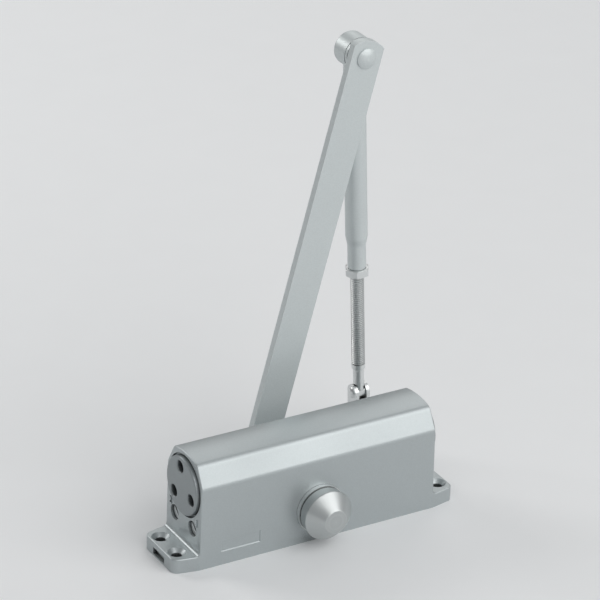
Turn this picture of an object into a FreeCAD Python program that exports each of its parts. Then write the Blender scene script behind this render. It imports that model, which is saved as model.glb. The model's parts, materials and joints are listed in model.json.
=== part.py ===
import FreeCAD, Part
import math
import os

# Overhead door closer with a scissor arm, in millimetres.
# Origin: centre of the four mounting holes on the mounting face.
# +X runs along the cylinder, +Y along the pinion towards the arm, +Z away from the mounting face.

# Cast body
body_length = 152.0
body_depth = 40.0
shoulder_rise = 6.5
crown_edge_rise = 18.7
crown_bulge = 1.8
crown_half_width = 13.3
body_edge_radius = 5.0
end_draft = 0.8
rim_radius = 0.8

# Mounting flange
flange_thickness = 8.8
flange_length = 15.2
flange_narrowing = 3.1
flange_corner_radius = 4.5
flange_blend_radius = 12.0
flange_root_radius = 2.2
mount_end_distance = 6.2
mount_spacing_y = 19.0
mount_hole_diameter = 6.0
mount_sink_diameter = 10.4
clip_pocket_width = 13.0
clip_pocket_height = 4.2
clip_pocket_lip = 1.2
clip_pocket_depth = 2.4

# Cylinder, its end plugs and their seals
cylinder_height = 44.1
cylinder_diameter = 32.1
plug_diameter = 34.8
plug_seat_depth = 12.0
plug_proud = 2.0
plug_edge_chamfer = 0.5
plug_gap_width = 1.2
plug_gap_depth = 1.2
spanner_hole_count = 3
spanner_hole_diameter = 7.0
spanner_hole_chamfer = 0.5
spanner_hole_depth = 7.0
spanner_circle_diameter = 22.8
spanner_first_angle = 80.5
seal_section = 2.1
seal_groove_width = 2.8
seal_offset = 3.2

# Regulating valves in the left end
valve_drop = 22.3
valve_side_distance = 9.7
valve_bore_diameter = 6.6
valve_bore_depth = 24.0
valve_head_diameter = 8.4
valve_head_height = 2.0
valve_head_recess = 1.6
valve_recess_clearance = 0.45
valve_shank_length = 15.0
valve_tip_length = 4.0
valve_slot_width = 1.6
valve_slot_depth = 1.3
valve_slot_angle = 45.0
valve_seal_section = 1.2
valve_seal_offset = 6.0
oil_passage_diameter = 2.6
oil_passage_inset = 18.0

# Pinion and rack
pinion_drop = 23.8
gear_module = 1.75
pinion_teeth = 12
pressure_angle = 25.0
tooth_addendum = 1.4
tooth_dedendum = 1.85
tooth_backlash = 0.22
flank_points = 4
pinion_face_width = 14.0
arm_swing_range = 160.0
journal_diameter = 16.0
journal_proud = 1.0
square_size = 10.0
square_corner_diameter = 13.2
free_square_length = 9.0
arm_screw_diameter = 6.0
tapped_depth = 14.0

# Bearing covers, thrust washers and pinion seals
bearing_diameter = 26.0
cover_flange_diameter = 29.4
cover_flange_thickness = 2.6
thrust_washer_thickness = 1.3
thrust_washer_diameter = 23.0
shaft_seal_diameter = 22.0
shaft_seal_width = 3.0
cover_key_diameter = 2.4
cover_key_circle = 25.8
cover_key_depth = 2.0

# Cap over the free end of the pinion
cap_rim_diameter = 30.0
cap_rim_width = 0.8
cap_rim_height = 7.6
cap_skirt_diameter = 28.6
cap_groove_diameter = 27.4
cap_groove_width = 1.0
cap_height = 15.9
cap_face_diameter = 14.8
cap_face_bevel = 0.5
cap_wall = 1.8

# Piston and return spring
piston_wall = 11.0
pinion_room = 10.5
rack_width = 13.4
cover_room = 0.6
piston_seal_width = 2.6
piston_seal_depth = 2.0
piston_seal_inset = 5.0
spring_room_diameter = 20.0
spring_room_floor = 31.0
spring_diameter = 19.0
spring_wire = 3.6
spigot_clearance = 0.3
spring_turns = 7
check_passage_diameter = 3.0
check_pocket_diameter = 6.4
check_pocket_depth = 9.0
check_ball_diameter = 5.4
check_retainer_thickness = 1.6
check_offset = 5.0

# Main arm
arm_length = 243.3
arm_tilt = 14.6
arm_width = 19.8
arm_thickness = 5.6
arm_tip_radius = 15.0
arm_tip_overhang = 10.4
arm_edge_radius = 1.6
arm_face = 47.7
crank_offset = 11.0
crank_start = 10.5
crank_end = 18.0
hub_diameter = 22.0
hub_end_radius = 12.4
hub_gap = 1.4
arm_washer_diameter = 14.0
arm_washer_thickness = 1.5
arm_screw_head_size = 10.0
arm_screw_head_height = 4.0
arm_screw_reach = 12.0

# Elbow
rivet_diameter = 7.0
rivet_head_diameter = 12.0
rivet_rim_height = 0.7
rivet_head_height = 2.4
rivet_tail_diameter = 10.0
rivet_tail_height = 1.6
elbow_washer_diameter = 19.4
elbow_washer_thickness = 2.1
boss_diameter = 19.8
boss_length = 12.2
boss_edge_radius = 1.4
bush_wall = 1.4
neck_length = 18.0
spigot_length = 14.0

# Forearm
forearm_lean = 3.2
tube_diameter = 13.0
tube_bore = 9.2
tube_step_start = 115.5
tube_step_end = 121.4
tube_end_diameter = 10.8
tube_length_end = 136.0
nut_size = 13.0
nut_height = 5.0
nut_chamfer = 0.8
rod_diameter = 8.0
rod_start = 97.0
rod_thread_end = 203.4
rod_end_chamfer = 1.0
rod_neck_diameter = 6.6
pin_distance = 218.2
eye_root_length = 5.4
eye_thickness = 4.8
eye_width = 7.4

# Foot
ear_thickness = 2.3
yoke_width = 9.8
yoke_drop = 21.6
yoke_edge_radius = 1.0
eye_side_clearance = 0.1
eye_end_clearance = 0.8
yoke_pin_diameter = 4.0
yoke_pin_head_diameter = 6.8
yoke_pin_head_height = 1.4
stud_diameter = 4.0
stud_head_diameter = 8.0
stud_head_inset = 0.2
stud_reach = 8.0
stud_washer_diameter = 12.0
stud_washer_thickness = 1.0
shoe_length = 48.0
shoe_width = 20.0
shoe_thickness = 3.0
shoe_corner_radius = 7.0
shoe_edge_radius = 0.6
shoe_hole_spacing = 34.0
shoe_hole_diameter = 5.5
shoe_sink_diameter = 9.4

# Clearances
running_clearance = 0.05
seated_clearance = 0.03
cut_margin = 1.0
match_tolerance = 1e-6

# Worked out from the values above
x_axis = FreeCAD.Vector(1, 0, 0)
y_axis = FreeCAD.Vector(0, 1, 0)
z_axis = FreeCAD.Vector(0, 0, 1)
half_body = body_length / 2
half_depth = body_depth / 2
overall_length = body_length + 2 * flange_length
mount_spacing_x = overall_length - 2 * mount_end_distance
shoulder_height = cylinder_height + shoulder_rise
crown_edge_height = cylinder_height + crown_edge_rise
crown_height = crown_edge_height + crown_bulge
pinion_height = cylinder_height - pinion_drop
valve_height = cylinder_height - valve_drop
valve_spacing = body_depth - 2 * valve_side_distance
end_slope = math.tan(math.radians(end_draft))
plug_face = half_body - (cylinder_height - flange_thickness) * end_slope
plug_floor = plug_face - plug_seat_depth
bore_radius = cylinder_diameter / 2
pitch_radius = gear_module * pinion_teeth / 2
rack_pitch = math.pi * gear_module
rack_line = pinion_height + pitch_radius
rack_root = rack_line + tooth_dedendum
piston_travel = pitch_radius * math.radians(arm_swing_range)
piston_right = pinion_room + piston_wall
piston_left = -piston_travel - pinion_room - piston_wall
piston_radius = bore_radius - running_clearance
spring_floor = piston_left + spring_room_floor
cover_inner = pinion_face_width / 2 + thrust_washer_thickness + running_clearance
cap_seat = half_depth + cover_flange_thickness
hub_front = cap_seat + hub_gap
crank_face = arm_face - crank_offset
hub_back = crank_face + arm_thickness
arm_back = arm_face + arm_thickness
washer_back = arm_back + elbow_washer_thickness
boss_start = washer_back + running_clearance
boss_end = boss_start + boss_length
forearm_y = boss_start + boss_length / 2
valve_face = half_body - (valve_height - flange_thickness) * end_slope
elbow_x = arm_length * math.sin(math.radians(arm_tilt))
elbow_z = pinion_height + arm_length * math.cos(math.radians(arm_tilt))
rod_eye_start = pin_distance - eye_root_length
shoe_top = pin_distance + yoke_drop + stud_washer_thickness + running_clearance
shoe_bottom = shoe_top + shoe_thickness

os.makedirs("parts", exist_ok=True)


def vector(x, y, z):
    return FreeCAD.Vector(x, y, z)


def save(name, *solids):
    shape = solids[0] if len(solids) == 1 else Part.makeCompound(list(solids))
    shape.exportStep("parts/%s.step" % name)


def rod_shape(diameter, length, start, direction):
    return Part.makeCylinder(diameter / 2, length, start, direction)


def ring_shape(outer, inner, length, start, direction):
    blank = rod_shape(outer, length, start, direction)
    hole = rod_shape(inner, length + 2 * cut_margin, start - direction * cut_margin, direction)
    return blank.cut(hole)


def cone_shape(first_diameter, last_diameter, length, start, direction):
    return Part.makeCone(first_diameter / 2, last_diameter / 2, length, start, direction)


def box_shape(x_range, y_range, z_range):
    corner = vector(x_range[0], y_range[0], z_range[0])
    return Part.makeBox(x_range[1] - x_range[0], y_range[1] - y_range[0], z_range[1] - z_range[0], corner)


def prism(points, sweep):
    return Part.Face(Part.makePolygon(points + points[:1])).extrude(sweep)


def turned(points, axis_point, axis):
    return Part.Face(Part.makePolygon(points + points[:1])).revolve(axis_point, axis, 360)


def edges_where(shape, test):
    return [edge for edge in shape.Edges if test(edge)]


def is_along(edge, direction):
    if not isinstance(edge.Curve, Part.Line):
        return False
    return abs(abs(edge.tangentAt(edge.FirstParameter).dot(direction)) - 1) < match_tolerance


def middle(edge):
    return edge.valueAt((edge.FirstParameter + edge.LastParameter) / 2)


def hexagon(size, height, start, direction, across):
    corner_radius = size / math.sqrt(3)
    other = direction.cross(across)
    points = []
    for index in range(6):
        angle = math.radians(60 * index)
        spoke = across * math.cos(angle) + other * math.sin(angle)
        points.append(start + spoke * corner_radius)
    return prism(points, direction * height)


def tilt_arm(shape):
    shape.rotate(vector(0, 0, pinion_height), y_axis, arm_tilt)
    return shape


def hang_forearm(shape):
    shape.rotate(vector(0, 0, 0), y_axis, -forearm_lean)
    shape.translate(vector(elbow_x, 0, elbow_z))
    return shape


def body_section():
    low_front = vector(0, -half_depth, 0)
    low_back = vector(0, half_depth, 0)
    shoulder_back = vector(0, half_depth, shoulder_height)
    crown_back = vector(0, crown_half_width, crown_edge_height)
    crown_front = vector(0, -crown_half_width, crown_edge_height)
    shoulder_front = vector(0, -half_depth, shoulder_height)
    crown = Part.Arc(crown_back, vector(0, 0, crown_height), crown_front).toShape()
    sides = [
        Part.makeLine(low_front, low_back),
        Part.makeLine(low_back, shoulder_back),
        Part.makeLine(shoulder_back, crown_back),
        crown,
        Part.makeLine(crown_front, shoulder_front),
        Part.makeLine(shoulder_front, low_front),
    ]
    return Part.Face(Part.Wire(sides))


def body_blank():
    section = body_section()
    section.translate(vector(-overall_length / 2, 0, 0))
    along = section.extrude(vector(overall_length, 0, 0))
    long_edges = edges_where(along, lambda e: is_along(e, x_axis) and middle(e).z > flange_thickness)
    along = along.makeFillet(body_edge_radius, long_edges)

    top = crown_height + cut_margin
    top_x = half_body - (top - flange_thickness) * end_slope
    side_points = [
        vector(-overall_length / 2, -body_depth, 0),
        vector(overall_length / 2, -body_depth, 0),
        vector(overall_length / 2, -body_depth, flange_thickness),
        vector(half_body, -body_depth, flange_thickness),
        vector(top_x, -body_depth, top),
        vector(-top_x, -body_depth, top),
        vector(-half_body, -body_depth, flange_thickness),
        vector(-overall_length / 2, -body_depth, flange_thickness),
    ]
    side_view = prism(side_points, vector(0, 2 * body_depth, 0))
    roots = edges_where(
        side_view,
        lambda e: is_along(e, y_axis)
        and abs(abs(middle(e).x) - half_body) < match_tolerance
        and abs(middle(e).z - flange_thickness) < match_tolerance,
    )
    side_view = side_view.makeFillet(flange_root_radius, roots)

    tip = half_depth - flange_narrowing
    plan_points = [
        vector(-overall_length / 2, -tip, 0),
        vector(-half_body, -half_depth, 0),
        vector(half_body, -half_depth, 0),
        vector(overall_length / 2, -tip, 0),
        vector(overall_length / 2, tip, 0),
        vector(half_body, half_depth, 0),
        vector(-half_body, half_depth, 0),
        vector(-overall_length / 2, tip, 0),
    ]
    plan_view = prism(plan_points, vector(0, 0, crown_height + cut_margin))
    side_limit = half_depth - match_tolerance
    corners = edges_where(plan_view, lambda e: is_along(e, z_axis) and abs(middle(e).y) < side_limit)
    plan_view = plan_view.makeFillet(flange_corner_radius, corners)
    bends = edges_where(plan_view, lambda e: is_along(e, z_axis) and abs(middle(e).y) > side_limit)
    plan_view = plan_view.makeFillet(flange_blend_radius, bends)
    return along.common(side_view).common(plan_view)


def mount_holes():
    cuts = []
    sink_depth = (mount_sink_diameter - mount_hole_diameter) / 2
    for x in (-mount_spacing_x / 2, mount_spacing_x / 2):
        for y in (-mount_spacing_y / 2, mount_spacing_y / 2):
            hole_length = flange_thickness + 2 * cut_margin
            cuts.append(rod_shape(mount_hole_diameter, hole_length, vector(x, y, -cut_margin), z_axis))
            sink = vector(x, y, flange_thickness - sink_depth)
            cuts.append(cone_shape(mount_hole_diameter, mount_sink_diameter, sink_depth, sink, z_axis))
            above = vector(x, y, flange_thickness)
            cuts.append(rod_shape(mount_sink_diameter, cut_margin, above, z_axis))
    return cuts


def clip_pockets():
    cuts = []
    top = clip_pocket_lip + clip_pocket_height
    width = (-clip_pocket_width / 2, clip_pocket_width / 2)
    for side in (-1, 1):
        outer = side * (overall_length / 2 + cut_margin)
        inner = side * (overall_length / 2 - clip_pocket_depth)
        cuts.append(box_shape(sorted((outer, inner)), width, (clip_pocket_lip, top)))
    return cuts


def cylinder_cuts():
    bore_start = vector(-overall_length / 2, 0, cylinder_height)
    cuts = [rod_shape(cylinder_diameter, overall_length, bore_start, x_axis)]
    for side in (-1, 1):
        outwards = x_axis * side
        floor = vector(side * plug_floor, 0, cylinder_height)
        reach = plug_seat_depth + plug_proud + flange_length
        cuts.append(rod_shape(plug_diameter, reach, floor, outwards))
        gap_floor = vector(side * (plug_face - plug_gap_depth), 0, cylinder_height)
        cuts.append(rod_shape(plug_diameter + 2 * plug_gap_width, reach, gap_floor, outwards))
    return cuts


def valve_cuts():
    cuts = []
    recess = valve_head_recess + valve_head_height
    for side in (-1, 1):
        y = side * valve_spacing / 2
        mouth = vector(-valve_face - flange_length, y, valve_height)
        cuts.append(rod_shape(valve_bore_diameter, flange_length + valve_bore_depth, mouth, x_axis))
        recess_diameter = valve_head_diameter + 2 * valve_recess_clearance
        cuts.append(rod_shape(recess_diameter, flange_length + recess, mouth, x_axis))
        passage = vector(-valve_face + oil_passage_inset, y, valve_height)
        cuts.append(rod_shape(oil_passage_diameter, cylinder_height - valve_height, passage, z_axis))
    return cuts


def is_rim(edge):
    place = middle(edge)
    if place.z < flange_thickness - match_tolerance:
        return False
    if abs(place.x) < half_body - crown_height * end_slope:
        return False
    across = is_along(edge, y_axis)
    return not across or abs(place.x) > overall_length / 2 - match_tolerance


def body_housing():
    blank = body_blank()
    rims = edges_where(blank, is_rim)
    blank = blank.makeFillet(rim_radius, rims)
    pinion_bore = rod_shape(bearing_diameter, body_depth + 2 * cut_margin,
                            vector(0, -half_depth - cut_margin, pinion_height), y_axis)
    cuts = mount_holes() + clip_pockets() + cylinder_cuts() + valve_cuts() + [pinion_bore]
    return blank.cut(cuts)


def end_plug(side, with_spigot):
    outwards = x_axis * side
    start = vector(side * plug_floor, 0, cylinder_height)
    length = plug_seat_depth + plug_proud
    diameter = plug_diameter - 2 * seated_clearance
    plug = rod_shape(diameter, length, start, outwards)
    outer_rim = edges_where(plug, lambda e: abs(abs(middle(e).x) - plug_floor - length) < match_tolerance)
    plug = plug.makeChamfer(plug_edge_chamfer, outer_rim)
    groove_start = start + outwards * seal_offset
    groove = ring_shape(diameter + 2 * cut_margin, plug_diameter - 2 * seal_section - 2 * seated_clearance,
                        seal_groove_width, groove_start, outwards)
    plug = plug.cut(groove)
    face = start + outwards * (length - spanner_hole_depth)
    for index in range(spanner_hole_count):
        angle = math.radians(spanner_first_angle + 360 * index / spanner_hole_count)
        offset = y_axis * math.cos(angle) + z_axis * math.sin(angle)
        centre = face + offset * (spanner_circle_diameter / 2)
        hole = rod_shape(spanner_hole_diameter, spanner_hole_depth + cut_margin, centre, outwards)
        mouth_start = centre + outwards * (spanner_hole_depth - spanner_hole_chamfer)
        mouth = cone_shape(spanner_hole_diameter, spanner_hole_diameter + 2 * spanner_hole_chamfer,
                           spanner_hole_chamfer, mouth_start, outwards)
        plug = plug.cut([hole, mouth])
    if with_spigot:
        spigot_diameter = spring_diameter - 2 * spring_wire - 2 * spigot_clearance
        spigot = rod_shape(spigot_diameter, 2 * spring_wire, start - outwards * (2 * spring_wire), outwards)
        plug = plug.fuse(spigot)
    return plug


def plug_seal(side):
    start = vector(side * (plug_floor + seal_offset + seated_clearance), 0, cylinder_height)
    outer = plug_diameter - 2 * seated_clearance
    inner = plug_diameter - 2 * seal_section
    return ring_shape(outer, inner, seal_groove_width - 2 * seated_clearance, start, x_axis * side)


def regulating_valve(side):
    y = side * valve_spacing / 2
    head_face = -valve_face + valve_head_recess
    head = rod_shape(valve_head_diameter, valve_head_height, vector(head_face, y, valve_height), x_axis)
    shank_diameter = valve_bore_diameter - 2 * running_clearance
    shank_start = vector(head_face + valve_head_height, y, valve_height)
    shank = rod_shape(shank_diameter, valve_shank_length, shank_start, x_axis)
    tip_start = shank_start + x_axis * valve_shank_length
    tip = cone_shape(shank_diameter, valve_slot_width, valve_tip_length, tip_start, x_axis)
    groove = ring_shape(shank_diameter + cut_margin, shank_diameter - 2 * valve_seal_section,
                        valve_seal_section + 2 * running_clearance,
                        shank_start + x_axis * valve_seal_offset, x_axis)
    slot = box_shape(
        (head_face - cut_margin, head_face + valve_slot_depth),
        (y - valve_head_diameter, y + valve_head_diameter),
        (valve_height - valve_slot_width / 2, valve_height + valve_slot_width / 2),
    )
    slot.rotate(vector(head_face, y, valve_height), x_axis, valve_slot_angle)
    return head.fuse([shank, tip]).cut([groove, slot])


def valve_seal(side):
    start = -valve_face + valve_head_recess + valve_head_height + valve_seal_offset + running_clearance
    outer = valve_bore_diameter - 2 * running_clearance
    inner = outer - 2 * (valve_seal_section - seated_clearance)
    centre = vector(start, side * valve_spacing / 2, valve_height)
    return ring_shape(outer, inner, valve_seal_section, centre, x_axis)


def involute_flank():
    base_radius = pitch_radius * math.cos(math.radians(pressure_angle))
    outer_radius = pitch_radius + tooth_addendum
    pitch_roll = math.tan(math.radians(pressure_angle)) - math.radians(pressure_angle)
    half_tooth = math.pi / (2 * pinion_teeth) - tooth_backlash / (4 * pitch_radius)
    flank = [(pitch_radius - tooth_dedendum, half_tooth + pitch_roll)]
    for step in range(flank_points + 1):
        radius = base_radius + (outer_radius - base_radius) * step / flank_points
        pressure = math.acos(base_radius / radius)
        flank.append((radius, half_tooth + pitch_roll - (math.tan(pressure) - pressure)))
    return flank


def pinion_gear():
    flank = involute_flank()
    points = []
    for tooth in range(pinion_teeth):
        centre = 2 * math.pi * tooth / pinion_teeth
        sides = [(radius, centre - angle) for radius, angle in flank]
        sides += [(radius, centre + angle) for radius, angle in reversed(flank)]
        for radius, angle in sides:
            x = radius * math.sin(angle)
            z = pinion_height + radius * math.cos(angle)
            points.append(vector(x, -pinion_face_width / 2, z))
    return prism(points, vector(0, pinion_face_width, 0))


def square_end(start_y, length, outwards):
    start = vector(0, start_y, pinion_height)
    low, high = sorted((start_y, start_y + outwards.y * length))
    half = square_size / 2
    block = box_shape((-half, half), (low, high), (pinion_height - half, pinion_height + half))
    return block.common(rod_shape(square_corner_diameter, length, start, outwards))


def pinion_shaft():
    front_end = -cap_seat - journal_proud
    journal_start = vector(0, front_end, pinion_height)
    journal = rod_shape(journal_diameter, hub_front - front_end, journal_start, y_axis)
    rear_end = hub_back - seated_clearance
    rear_square = tilt_arm(square_end(hub_front, rear_end - hub_front, y_axis))
    front_square = square_end(front_end, free_square_length, -y_axis)
    shaft = pinion_gear().fuse([journal, rear_square, front_square])
    rear_tap = rod_shape(arm_screw_diameter, tapped_depth + cut_margin,
                         vector(0, rear_end - tapped_depth, pinion_height), y_axis)
    front_tap = rod_shape(arm_screw_diameter, tapped_depth + cut_margin,
                          vector(0, front_end - free_square_length + tapped_depth, pinion_height), -y_axis)
    return shaft.cut([rear_tap, front_tap])


def thrust_washer(side):
    outwards = y_axis * side
    start = vector(0, side * (pinion_face_width / 2 + running_clearance), pinion_height)
    bore = journal_diameter + 2 * running_clearance
    return ring_shape(thrust_washer_diameter, bore, thrust_washer_thickness, start, outwards)


def bearing_cover(side):
    outwards = y_axis * side
    inner = vector(0, side * cover_inner, pinion_height)
    barrel = rod_shape(bearing_diameter - 2 * seated_clearance, half_depth - cover_inner, inner, outwards)
    face = vector(0, side * half_depth, pinion_height)
    flange = rod_shape(cover_flange_diameter, cover_flange_thickness, face, outwards)
    bore = rod_shape(journal_diameter + 2 * running_clearance, body_depth, inner - outwards, outwards)
    seal_start = vector(0, side * (cap_seat - shaft_seal_width), pinion_height)
    seal_seat = rod_shape(shaft_seal_diameter, body_depth, seal_start, outwards)
    cuts = [bore, seal_seat]
    for end in (-1, 1):
        key_x = end * cover_key_circle / 2
        key_start = vector(key_x, side * (cap_seat - cover_key_depth), pinion_height)
        cuts.append(rod_shape(cover_key_diameter, cover_key_depth + cut_margin, key_start, outwards))
    return barrel.fuse(flange).cut(cuts)


def shaft_seal(side):
    start = vector(0, side * (cap_seat - shaft_seal_width), pinion_height)
    outer = shaft_seal_diameter - 2 * seated_clearance
    inner = journal_diameter + 2 * running_clearance
    return ring_shape(outer, inner, shaft_seal_width, start, y_axis * side)


def pinion_cap():
    rim = cap_rim_diameter / 2
    skirt = cap_skirt_diameter / 2
    groove = cap_groove_diameter / 2
    face = cap_face_diameter / 2
    inside = groove - cap_wall
    profile = [
        (inside, 0),
        (groove, 0),
        (groove, cap_groove_width),
        (skirt, cap_groove_width),
        (skirt, cap_rim_height - cap_rim_width),
        (rim, cap_rim_height - cap_rim_width),
        (rim, cap_rim_height),
        (face, cap_height - cap_face_bevel),
        (face - cap_face_bevel, cap_height),
        (0, cap_height),
        (0, cap_height - cap_wall),
        (face - cap_wall, cap_height - cap_wall),
        (inside, cap_rim_height),
    ]
    points = [vector(radius, -cap_seat - reach, pinion_height) for radius, reach in profile]
    return turned(points, vector(0, 0, pinion_height), y_axis)


def rack_teeth():
    half_base = rack_pitch / 4 - tooth_backlash / 4
    slope = math.tan(math.radians(pressure_angle))
    root_half = half_base + tooth_dedendum * slope
    tip_half = half_base - tooth_addendum * slope
    first = math.floor(-(piston_travel + pinion_room) / rack_pitch) + 1
    last = math.floor(pinion_room / rack_pitch)
    teeth = []
    for index in range(first, last):
        centre = (index + 0.5) * rack_pitch
        points = [
            vector(centre - root_half, -rack_width / 2, rack_root),
            vector(centre - tip_half, -rack_width / 2, rack_line - tooth_addendum),
            vector(centre + tip_half, -rack_width / 2, rack_line - tooth_addendum),
            vector(centre + root_half, -rack_width / 2, rack_root),
        ]
        teeth.append(prism(points, vector(0, rack_width, 0)))
    return teeth


def piston():
    axis_start = vector(piston_left, 0, cylinder_height)
    blank = rod_shape(2 * piston_radius, piston_right - piston_left, axis_start, x_axis)
    relief_length = (-piston_travel - pinion_room, pinion_room)
    relief_top = pinion_height + bearing_diameter / 2 + cover_room
    relief = box_shape(relief_length, (-bore_radius, bore_radius), (pinion_height, relief_top))
    rack_rib = box_shape(relief_length, (-rack_width / 2, rack_width / 2), (rack_root, relief_top))
    relief = relief.cut([rack_rib] + rack_teeth())
    spring_start = vector(spring_floor, 0, cylinder_height)
    spring_room = rod_shape(spring_room_diameter, body_length, spring_start, x_axis)
    check_start = axis_start + z_axis * check_offset
    passage = rod_shape(check_passage_diameter, spring_room_floor + cut_margin, check_start, x_axis)
    pocket = rod_shape(check_pocket_diameter, check_pocket_depth, check_start, x_axis)
    seal_start = axis_start + x_axis * piston_seal_inset
    groove = ring_shape(2 * bore_radius, 2 * (piston_radius - piston_seal_depth), piston_seal_width,
                        seal_start, x_axis)
    return blank.cut([relief, spring_room, passage, pocket, groove])


def piston_seal():
    start = vector(piston_left + piston_seal_inset + seated_clearance, 0, cylinder_height)
    inner = 2 * (piston_radius - piston_seal_depth + seated_clearance)
    return ring_shape(2 * piston_radius, inner, piston_seal_width - 2 * seated_clearance, start, x_axis)


def check_retainer():
    start = vector(piston_left, 0, cylinder_height + check_offset)
    outer = check_pocket_diameter - 2 * seated_clearance
    return ring_shape(outer, check_passage_diameter, check_retainer_thickness, start, x_axis)


def check_ball():
    reach = check_pocket_depth - check_ball_diameter / 2
    centre = vector(piston_left + reach, 0, cylinder_height + check_offset)
    return Part.makeSphere(check_ball_diameter / 2, centre)


def return_spring():
    coil_radius = (spring_diameter - spring_wire) / 2
    height = plug_floor - spring_floor - spring_wire - 2 * seated_clearance
    helix = Part.makeHelix(height / spring_turns, height, coil_radius)
    section = Part.Wire(Part.makeCircle(spring_wire / 2, vector(coil_radius, 0, 0), y_axis))
    coil = Part.Wire(helix).makePipeShell([section], True, True)
    coil.rotate(vector(0, 0, 0), y_axis, 90)
    coil.translate(vector(spring_floor + spring_wire / 2 + seated_clearance, 0, cylinder_height))
    return coil


def arm_blank():
    low = pinion_height - 2 * hub_end_radius
    start = pinion_height + crank_start
    end = pinion_height + crank_end
    high = pinion_height + arm_length + arm_tip_overhang
    slope = math.atan2(crank_offset, crank_end - crank_start)
    shift = arm_thickness * math.tan(slope / 2)
    x = -arm_width / 2
    points = [
        vector(x, crank_face, low),
        vector(x, crank_face, start),
        vector(x, arm_face, end),
        vector(x, arm_face, high),
        vector(x, arm_back, high),
        vector(x, arm_back, end - shift),
        vector(x, hub_back, start - shift),
        vector(x, hub_back, low),
    ]
    strip = prism(points, vector(arm_width, 0, 0))
    tip_centre = high - arm_tip_radius
    hub_end = rod_shape(2 * hub_end_radius, 2 * arm_back, vector(0, 0, pinion_height), y_axis)
    tip = rod_shape(2 * arm_tip_radius, 2 * arm_back, vector(0, 0, tip_centre), y_axis)
    between = box_shape((-arm_width, arm_width), (0, 2 * arm_back), (pinion_height, tip_centre))
    return strip.common(between.fuse([hub_end, tip]))


def main_arm():
    arm = arm_blank()
    back_edges = edges_where(
        arm,
        lambda e: is_along(e, z_axis)
        and middle(e).y > arm_back - match_tolerance
        and e.Length > arm_length / 2,
    )
    arm = arm.makeFillet(arm_edge_radius, back_edges)
    hub = rod_shape(hub_diameter, crank_face - hub_front, vector(0, hub_front, pinion_height), y_axis)
    arm = arm.fuse(hub)
    half = square_size / 2 + seated_clearance
    square = box_shape((-half, half), (hub_front - cut_margin, hub_back + cut_margin),
                       (pinion_height - half, pinion_height + half))
    corner = square_corner_diameter + 2 * seated_clearance
    square = square.common(rod_shape(corner, 2 * hub_back, vector(0, 0, pinion_height), y_axis))
    rivet_hole = rod_shape(rivet_diameter + 2 * seated_clearance, 2 * arm_back,
                           vector(0, 0, pinion_height + arm_length), y_axis)
    return tilt_arm(arm.cut([square, rivet_hole]))


def arm_washer():
    start = vector(0, hub_back, pinion_height)
    bore = arm_screw_diameter + 2 * seated_clearance
    return ring_shape(arm_washer_diameter, bore, arm_washer_thickness, start, y_axis)


def arm_screw():
    head_start = vector(0, hub_back + arm_washer_thickness, pinion_height)
    head = hexagon(arm_screw_head_size, arm_screw_head_height, head_start, y_axis, x_axis)
    shank_length = arm_screw_reach + arm_washer_thickness
    shank_start = head_start - y_axis * shank_length
    shank = rod_shape(arm_screw_diameter - 2 * seated_clearance, shank_length, shank_start, y_axis)
    return tilt_arm(head.fuse(shank))


def domed_head(diameter, height, base, outwards):
    radius = diameter / 2
    ball_radius = (radius * radius + height * height) / (2 * height)
    half_arc = math.asin(radius / ball_radius) / 2
    sideways = outwards.cross(vector(outwards.y, outwards.z, outwards.x))
    centre = base + outwards * (height - ball_radius)
    rim = base + sideways * radius
    halfway = centre + (outwards * math.cos(half_arc) + sideways * math.sin(half_arc)) * ball_radius
    top = base + outwards * height
    dome = Part.Arc(rim, halfway, top).toShape()
    profile = Part.Wire([Part.makeLine(top, base), Part.makeLine(base, rim), dome])
    return Part.Face(profile).revolve(base, outwards, 360)


def elbow_rivet():
    centre_z = pinion_height + arm_length
    front = vector(0, arm_face, centre_z)
    back = vector(0, boss_end + running_clearance, centre_z)
    shank = rod_shape(rivet_diameter, back.y - front.y, front, y_axis)
    rim = rod_shape(rivet_head_diameter, rivet_rim_height, front, -y_axis)
    dome_height = rivet_head_height - rivet_rim_height
    dome = domed_head(rivet_head_diameter, dome_height, front - y_axis * rivet_rim_height, -y_axis)
    tail = domed_head(rivet_tail_diameter, rivet_tail_height, back, y_axis)
    return tilt_arm(shank.fuse([rim, dome, tail]))


def elbow_washer():
    start = vector(0, arm_back, pinion_height + arm_length)
    bore = rivet_diameter + 2 * seated_clearance
    return tilt_arm(ring_shape(elbow_washer_diameter, bore, elbow_washer_thickness, start, y_axis))


def elbow_bush():
    bore = rivet_diameter + 2 * running_clearance
    outer = bore + 2 * bush_wall
    return hang_forearm(ring_shape(outer, bore, boss_length, vector(0, boss_start, 0), y_axis))


def forearm_axis(distance):
    return vector(0, forearm_y, -distance)


def forearm_knuckle():
    boss = rod_shape(boss_diameter, boss_length, vector(0, boss_start, 0), y_axis)
    rear_rim = edges_where(boss, lambda e: abs(middle(e).y - boss_end) < match_tolerance)
    boss = boss.makeFillet(boss_edge_radius, rear_rim)
    neck = rod_shape(boss_length, neck_length, forearm_axis(0), -z_axis)
    flare_start = boss_diameter / 2
    flare = cone_shape(boss_length, tube_diameter, neck_length - flare_start,
                       forearm_axis(flare_start), -z_axis)
    spigot_diameter = tube_bore - 2 * seated_clearance
    spigot = rod_shape(spigot_diameter, neck_length + spigot_length, forearm_axis(0), -z_axis)
    bush_outer = rivet_diameter + 2 * running_clearance + 2 * bush_wall
    bore = rod_shape(bush_outer + 2 * seated_clearance, 2 * boss_end, vector(0, 0, 0), y_axis)
    return hang_forearm(boss.fuse([neck, flare, spigot]).cut(bore))


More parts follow.
